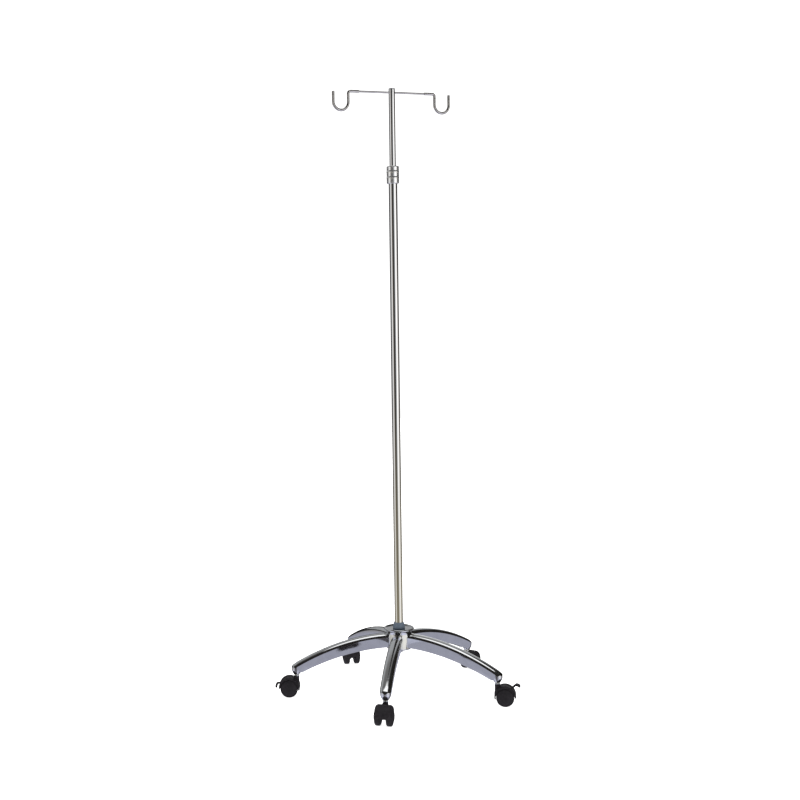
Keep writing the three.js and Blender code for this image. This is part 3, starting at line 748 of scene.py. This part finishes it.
def hood(with_lever):
    """The barrel-shaped shell over both wheels, with a web down the middle for the axle."""
    rim = [(0, -HOOD_HALF), (HOOD_WELL_R + 0.6, -HOOD_HALF), (HOOD_R - 1.2, -HOOD_HALF + 1.4),
           (HOOD_R, -HOOD_HALF + 4)]
    barrel = turned("barrel", rim + [(r, -y) for r, y in reversed(rim)], 1.2, 120, across=True)
    moved(barrel, TRAIL, 0, WHEEL_R + HOOD_LIFT)
    left, right, deep, wide = TRAIL - 30, TRAIL + 30, -20, 30
    below = [(left, 16.5), (TRAIL, 14.5), (right, 20.7), (right, deep), (left, deep)]
    combine(barrel, slab("below", below, wide))
    between = soften([(left, 20), (TRAIL - 13, 20), (TRAIL - 7, 13), (right, 13), (right, deep),
                      (left, deep)], 1.5, True)
    combine(barrel, slab("between", between, HOOD_NOTCH))
    shoulder = WHEEL_R + HOOD_LIFT + HOOD_R - 0.8
    neck = slab("neck", soften([(0, 30), (TRAIL - 2, 30), (TRAIL - 2, shoulder), (0, shoulder)], 0.6, True),
                HOOD_BOSS_R)
    combine(barrel, neck, "UNION")
    combine(barrel, turned("boss", rod_profile(HOOD_BOSS_R, STEM_BOTTOM, HOOD_BOSS_TOP), 0.6, 48), "UNION")
    for low, high in ((HOOD_WEB, wide), (-wide, -HOOD_WEB)):
        combine(barrel, cross_rod("well", HOOD_WELL_R, low, high, TRAIL, WHEEL_R, sides=120))
    pin_hole = rod_profile(STEM_PIN_R + CLEARANCE, STEM_BOTTOM - 0.5, HOOD_BOSS_TOP + 1)
    combine(barrel, turned("pin_hole", pin_hole, 0.1, 32))
    combine(barrel, cross_rod("bore", AXLE_BORE_R, -ALL_ACROSS, ALL_ACROSS, TRAIL, WHEEL_R))
    if with_lever:
        slot = [(LEVER_X - 5.2, LEVER_Z - 5.2), (right, LEVER_Z - 12), (right, 50),
                (LEVER_X + 9, LEVER_Z + 24), (LEVER_X - 5.2, LEVER_Z + 5.2)]
        combine(barrel, slab("slot", soften(slot, 1, True), LEVER_NECK + CLEARANCE))
        combine(barrel, cross_rod("eye", BRAKE_PIN_HOLE_R, -ALL_ACROSS, ALL_ACROSS, LEVER_X, LEVER_Z))
    return dress(rounded(barrel, 0.4, 40), HOOD, 42)


def wheel():
    """A wheel for the +Y side: tread, a stepped rim and a domed disc, bored blind for the axle."""
    r, disc, bore, floor = WHEEL_R, WHEEL_DISC_R, AXLE_BORE_R, WHEEL_OUT - 3
    profile = [
        (bore, WHEEL_IN), (r - 1.8, WHEEL_IN), (r, WHEEL_IN + 1.8), (r, WHEEL_RIM - 1.8),
        (r - 0.8, WHEEL_RIM - 0.2), (disc + 0.7, WHEEL_RIM + 0.5), (disc + 0.2, WHEEL_RIM + 0.1),
        (disc - 0.4, WHEEL_RIM + 0.8), (disc * 0.6, WHEEL_OUT - 0.8), (disc * 0.3, WHEEL_OUT - 0.15),
        (ON_AXIS, WHEEL_OUT), (ON_AXIS, floor), (bore, floor)]
    return dress(turned("wheel", profile, 1.0, 120, across=True), WHEEL, 50)


def lever():
    """The lever as it lies with the brake on: an eye on its pin, a neck, and a paddle hooked down."""
    bend = (LEVER_X + 15.3, LEVER_Z - 10)
    path = [(LEVER_X, LEVER_Z)] + arc(*bend, LEVER_BEND_R, 100, -25, 24)
    rings = []
    for i, (x, z) in enumerate(path):
        after, before = path[min(i + 1, len(path) - 1)], path[max(i - 1, 0)]
        along = (Vector(after) - Vector(before)).normalized()
        share = min(1, max(0, i / LEVER_NECK_STEPS - 1))
        half = LEVER_NECK + (LEVER_PADDLE - LEVER_NECK) * share * share * (3 - 2 * share)
        thick = LEVER_HALF_T if i < len(path) - 1 else LEVER_HALF_T * 0.8
        outline = soften([(-half, -thick), (half, -thick), (half, thick), (-half, thick)], 1.2, True, 4)
        rings.append([(x - n * along.y, y, z + n * along.x) for y, n in outline])
    arm = skin("arm", rings)
    eye = cross_rod("eye", LEVER_EYE_R, -LEVER_NECK, LEVER_NECK, LEVER_X, LEVER_Z, 0.4)
    combine(arm, eye, "UNION")
    combine(arm, cross_rod("pin_bore", BRAKE_PIN_BORE_R, -ALL_ACROSS, ALL_ACROSS, LEVER_X, LEVER_Z))
    return dress(rounded(arm, 0.25, 45), LEVER, 45)


def about_pivot(degrees):
    """Turns a lever about its pivot, in the caster's own axes."""
    pivot = Matrix.Translation((LEVER_X * MM, 0, LEVER_Z * MM))
    return pivot @ Matrix.Rotation(math.radians(-degrees), 4, "Y") @ pivot.inverted()


def make_casters():
    hoods = {braked: hood(braked) for braked in (False, True)}
    seat = height("leg_front")[0] - 0.9
    stem_top = height("caster_stem_front")[1]
    stem = dress(turned("stem", [
        (0, STEM_BOTTOM), (STEM_PIN_R, STEM_BOTTOM), (STEM_PIN_R, seat - STEM_SEAT),
        (STEM_SEAT_R, seat - STEM_SEAT), (STEM_SEAT_R, seat), (STEM_R, seat), (STEM_R, stem_top),
        (0, stem_top)], 0.5, 64), STEM)
    low, high = height("stem_sleeve_front")
    sleeve_profile = tube_profile(STEM_R + CLEARANCE, SOCKET_R - CLEARANCE, low, high)
    sleeve = dress(turned("sleeve", sleeve_profile, 0.3, 48), NYLON)
    reach = WHEEL_OUT - AXLE_END
    axle = dress(cross_rod("axle", AXLE_R, -reach, reach, TRAIL, WHEEL_R, 0.5), ZINC)
    reach = HOOD_WEB - 0.2
    pin = dress(cross_rod("brake_pin", BRAKE_PIN_R, -reach, reach, LEVER_X, LEVER_Z, 0.3), ZINC)
    disc, arm = wheel(), lever()
    outward = Matrix.Translation((TRAIL * MM, 0, WHEEL_R * MM))
    for leg in LEGS:
        body, place = f"caster_{leg}", CASTER_PLACES[leg]
        braked = leg in BRAKED
        install(copy_of(hoods[braked]), f"caster_hood_{leg}_moulded", body, "hood_plastic", place,
                f"caster_hood_{leg}")
        install(copy_of(stem), f"caster_stem_{leg}_turned", body, "chrome_stem", place,
                f"caster_stem_{leg}")
        install(copy_of(sleeve), f"stem_sleeve_{leg}_moulded", "base", "nylon", place,
                f"stem_sleeve_{leg}")
        install(copy_of(axle), f"axle_{leg}_turned", body, "zinc_steel", place, f"axle_{leg}")
        for side, turn in (("a", 0), ("b", math.pi)):
            spun = place @ outward @ Matrix.Rotation(turn, 4, "Z")
            install(copy_of(disc), f"wheel_{leg}_{side}_moulded", f"{leg}_wheel_{side}", "wheel_plastic",
                    spun, f"wheel_{leg}_{side}")
        if braked:
            lift = joints[f"brake_{leg}_tip"]["range_deg"][0]
            install(copy_of(arm), f"brake_lever_{leg}_moulded", f"brake_{leg}", "lever_plastic",
                    place @ about_pivot(-lift), f"brake_lever_{leg}")
            install(copy_of(pin), f"brake_pin_{leg}_turned", body, "zinc_steel", place,
                    f"brake_pin_{leg}")
    for pattern in (*hoods.values(), stem, sleeve, axle, pin, disc, arm):
        bpy.data.objects.remove(pattern)


# ---- Studio ---------------------------------------------------------------------------------

CAMERA_YAW = -24.817  # degrees round the mast from straight in front
CAMERA_DISTANCE = 2.8465  # metres, and so is its height
CAMERA_HEIGHT = 0.859
CAMERA_PITCH = 0.07503  # radians down from level, and so are its roll and its pan off the mast
CAMERA_ROLL = -0.02007
CAMERA_PAN = -0.08814
LENS = 59.165  # millimetres
LENS_SHIFT = 0.15  # a share of the picture's width


def make_camera():
    data = bpy.data.cameras.new("camera")
    data.sensor_width = 36
    data.lens = LENS
    data.shift_x = LENS_SHIFT
    camera = bpy.data.objects.new("camera", data)
    bpy.context.scene.collection.objects.link(camera)
    pan, pitch, roll = CAMERA_PAN, CAMERA_PITCH, CAMERA_ROLL
    ahead = Vector((math.sin(pan) * math.cos(pitch), math.cos(pan) * math.cos(pitch), -math.sin(pitch)))
    right = Vector((math.cos(pan), -math.sin(pan), 0))
    up = right.cross(ahead)
    across = right * math.cos(roll) + up * math.sin(roll)
    above = up * math.cos(roll) - right * math.sin(roll)
    pose = Matrix((across, above, -ahead)).transposed().to_4x4()
    pose.translation = (0, -CAMERA_DISTANCE, CAMERA_HEIGHT)
    camera.matrix_world = upright(mast.x, mast.y, math.radians(CAMERA_YAW)) @ pose
    bpy.context.scene.camera = camera


def grey(value, warmth=0.0):
    """A linear colour from a display value of 0 to 255, a little warm or, below 0, cool."""
    linear = (value / 255) ** 2.2
    return (linear * (1 + warmth), linear, linear * (1 - warmth), 1)


WHITE = (1, 1, 1, 1)
FLOOR_TONE = (0.30, 0.305, 0.37)  # the floor, as the chrome reflects it
FLOOR_GLOW = (0.42, 0.37, 0.24, 1)  # the warm strip just above it
GLOW_SHARE = 0.4
LIGHT_BELOW = (0.35, 0.35, 0.36, 1)  # the light that falls on all that isn't chrome
LIGHT_ABOVE = (1.1, 1.1, 1.1, 1)
BRIGHTNESS = 1.25

# What stands round the stand at eye level: degrees to the right of the camera as seen from the
# mast, with the brightness and warmth there. Straight behind the mast, white at 180 meets dark at
# -180 in a sharp edge.
SURROUND = (
    (-180, 40, 0), (-122, 36, 0), (-104, 85, 0), (-86, 165, 0), (-62, 225, 0), (-50, 195, 0.05),
    (-39, 62, 0.2), (-9, 52, 0.04), (7, 88, -0.03), (18, 135, -0.03), (28, 225, 0), (38, 255, 0),
    (68, 255, 0.01), (79, 170, 0.06), (90, 78, 0.12), (114, 62, 0.12), (126, 80, 0.05), (146, 105, 0),
    (158, 160, 0), (170, 240, 0), (180, 245, 0))

# Light and dark on the floor round the stand, by degrees as above. 186 is half in linear light, and
# the floor's tone is multiplied by twice what this says, so 186 leaves it as it is.
FLOOR_AROUND = (
    (-180, 186, 0), (-112, 186, 0), (-100, 245, 0), (-66, 245, 0), (-56, 186, 0), (-42, 186, 0),
    (-32, 95, 0.1), (-2, 95, 0.1), (8, 186, 0), (26, 186, 0), (34, 255, 0), (72, 255, 0),
    (84, 186, 0), (106, 186, 0), (116, 105, 0.1), (146, 105, 0.1), (157, 186, 0), (180, 186, 0))

# What lies above eye level, by the sine of its elevation, with the brightness there: a dark room on
# the camera's side and to the right, and a grey backdrop behind and to the left.
ROOM = ((0.0, 20, 0.1), (0.5, 34, 0.12), (0.8, 28, 0.05), (1.0, 60, 0))
BACKDROP = ((0.0, 130, 0), (0.35, 150, -0.02), (0.6, 150, -0.02), (0.8, 105, 0.02), (1.0, 90, 0))

# How far the dark room reaches round the stand, by degrees as above.
ROOM_REACH = ((-180, 0, 0), (-100, 0, 0), (-70, 255, 0), (148, 255, 0), (158, 0, 0), (180, 0, 0))

# Where the dark room comes down almost to eye level, by degrees as above.
ROOM_LOW = ((-180, 0, 0), (84, 0, 0), (98, 255, 0), (160, 255, 0), (172, 0, 0), (180, 0, 0))

# Where one thing gives way to the next on the way up, by the sine of the elevation.
FLOOR_ENDS = (-0.315, -0.265)
FAR_FLOOR_ENDS = (-0.23, -0.17)  # behind the stand, where the floor reaches further up
GLOW_FADES = (-0.27, -0.05)
ROOM_LOW_STARTS = (0.0, 0.06)
ROOM_STARTS = (0.14, 0.2)
CEILING_STARTS = (0.93, 0.955)
LIGHT_GROWS = (-0.2, 0.9)
BEHIND_ENDS = (-0.8, -0.6)  # not a sine: -1 is straight behind the stand, and 1 towards the camera


class Sky:
    """The world's node tree, with short calls for what the surroundings are made of."""

    def __init__(self):
        world = bpy.data.worlds.new("studio")
        bpy.context.scene.world = world
        world.use_nodes = True
        self.tree = world.node_tree
        self.tree.nodes.clear()
        self.add = self.tree.nodes.new
        self.link = self.tree.links.new

    def ramp(self, value, stops, low=-180, high=180):
        """The greys of the stops, each at its place between low and high."""
        node = self.add("ShaderNodeValToRGB")
        elements = node.color_ramp.elements
        while len(elements) < len(stops):
            elements.new(0.5)
        for element, (at, brightness, warmth) in zip(elements, stops):
            element.position = (at - low) / (high - low)
            element.color = grey(brightness, warmth)
        self.link(value, node.inputs["Fac"])
        return node.outputs["Color"]

    def step(self, value, edge):
        """0 below the edge's lower end and 1 above its upper end."""
        node = self.add("ShaderNodeMapRange")
        node.interpolation_type = "SMOOTHSTEP"
        node.inputs["From Min"].default_value, node.inputs["From Max"].default_value = edge
        self.link(value, node.inputs["Value"])
        return node.outputs["Result"]

    def compute(self, operation, a, b):
        node = self.add("ShaderNodeMath")
        node.operation = operation
        self.link(a, node.inputs[0])
        self.link(b, node.inputs[1])
        return node.outputs["Value"]

    def times(self, colour, factors):
        node = self.add("ShaderNodeVectorMath")
        node.operation = "MULTIPLY"
        self.link(colour, node.inputs[0])
        node.inputs[1].default_value = factors
        return node.outputs["Vector"]

    def mix(self, factor, a, b):
        """From a to b as the factor goes from 0 to 1. Each may be a value or another node's output."""
        node = self.add("ShaderNodeMix")
        node.data_type = "RGBA"
        for value, socket in ((factor, node.inputs["Factor"]), (a, node.inputs[6]), (b, node.inputs[7])):
            if isinstance(value, (float, tuple)):
                socket.default_value = value
            else:
                self.link(value, socket)
        return node.outputs[2]


def make_surroundings():
    """White to the camera, zones of light and dark to the chrome, and soft light from above to the rest."""
    sky = Sky()
    direction = sky.add("ShaderNodeTexCoord").outputs["Generated"]
    turn = sky.add("ShaderNodeMapping")
    turn.inputs["Rotation"].default_value = (0, 0, math.radians(90 - CAMERA_YAW))
    sky.link(direction, turn.inputs["Vector"])
    gradient = sky.add("ShaderNodeTexGradient")
    gradient.gradient_type = "RADIAL"
    sky.link(turn.outputs["Vector"], gradient.inputs["Vector"])
    around = gradient.outputs["Fac"]
    split = sky.add("ShaderNodeSeparateXYZ")
    sky.link(direction, split.inputs["Vector"])
    up = split.outputs["Z"]
    facing = sky.add("ShaderNodeSeparateXYZ")
    sky.link(turn.outputs["Vector"], facing.inputs["Vector"])

    surround = sky.ramp(around, SURROUND)
    band = sky.mix(sky.step(up, GLOW_FADES), sky.mix(GLOW_SHARE, surround, FLOOR_GLOW), surround)
    floor = sky.times(sky.ramp(around, FLOOR_AROUND), [2 * tone for tone in FLOOR_TONE])
    near = sky.mix(sky.step(up, FLOOR_ENDS), floor, band)
    far = sky.mix(sky.step(up, FAR_FLOOR_ENDS), floor, near)
    lower = sky.mix(sky.step(facing.outputs["X"], BEHIND_ENDS), far, near)
    upper = sky.mix(sky.ramp(around, ROOM_REACH), sky.ramp(up, BACKDROP, 0, 1), sky.ramp(up, ROOM, 0, 1))
    upper = sky.mix(sky.step(up, CEILING_STARTS), upper, WHITE)
    is_upper = sky.compute("MULTIPLY", sky.ramp(around, ROOM_LOW), sky.step(up, ROOM_LOW_STARTS))
    is_upper = sky.compute("MAXIMUM", is_upper, sky.step(up, ROOM_STARTS))
    reflected = sky.mix(is_upper, lower, upper)
    lit = sky.mix(sky.step(up, LIGHT_GROWS), LIGHT_BELOW, LIGHT_ABOVE)

    path = sky.add("ShaderNodeLightPath")
    seen = sky.mix(path.outputs["Is Glossy Ray"], lit, reflected)
    background = sky.add("ShaderNodeBackground")
    background.inputs["Strength"].default_value = BRIGHTNESS
    sky.link(sky.mix(path.outputs["Is Camera Ray"], seen, WHITE), background.inputs["Color"])
    output = sky.add("ShaderNodeOutputWorld")
    sky.link(background.outputs["Background"], output.inputs["Surface"])


FLOOR_HALF = 6000.0
FLOOR_GAP = 0.1


def make_floor():
    """Pale paper just under the wheels. The chrome doesn't reflect it, but the floor in the sky."""
    corners = [(-FLOOR_HALF, -FLOOR_HALF), (FLOOR_HALF, -FLOOR_HALF), (FLOOR_HALF, FLOOR_HALF),
               (-FLOOR_HALF, FLOOR_HALF)]
    floor = new_object("floor", [(x, y, -FLOOR_GAP) for x, y in corners], [(0, 1, 2, 3)])
    nodes = Nodes("floor_paper")
    nodes.colour(nodes.noise(40), (0.93, 0.93, 0.93), (0.96, 0.96, 0.96))
    nodes.shader.inputs["Roughness"].default_value = 0.9
    nodes.shader.inputs["Emission Color"].default_value = WHITE
    nodes.shader.inputs["Emission Strength"].default_value = 0.85
    floor.data.materials.append(nodes.material)
    floor.visible_glossy = False


make_tubes()
make_lock_collar()
make_bar_and_hooks()
make_hub()
make_legs()
make_fasteners()
make_pole_collar()
make_inner_parts()
make_casters()
make_camera()
make_surroundings()
make_floor()
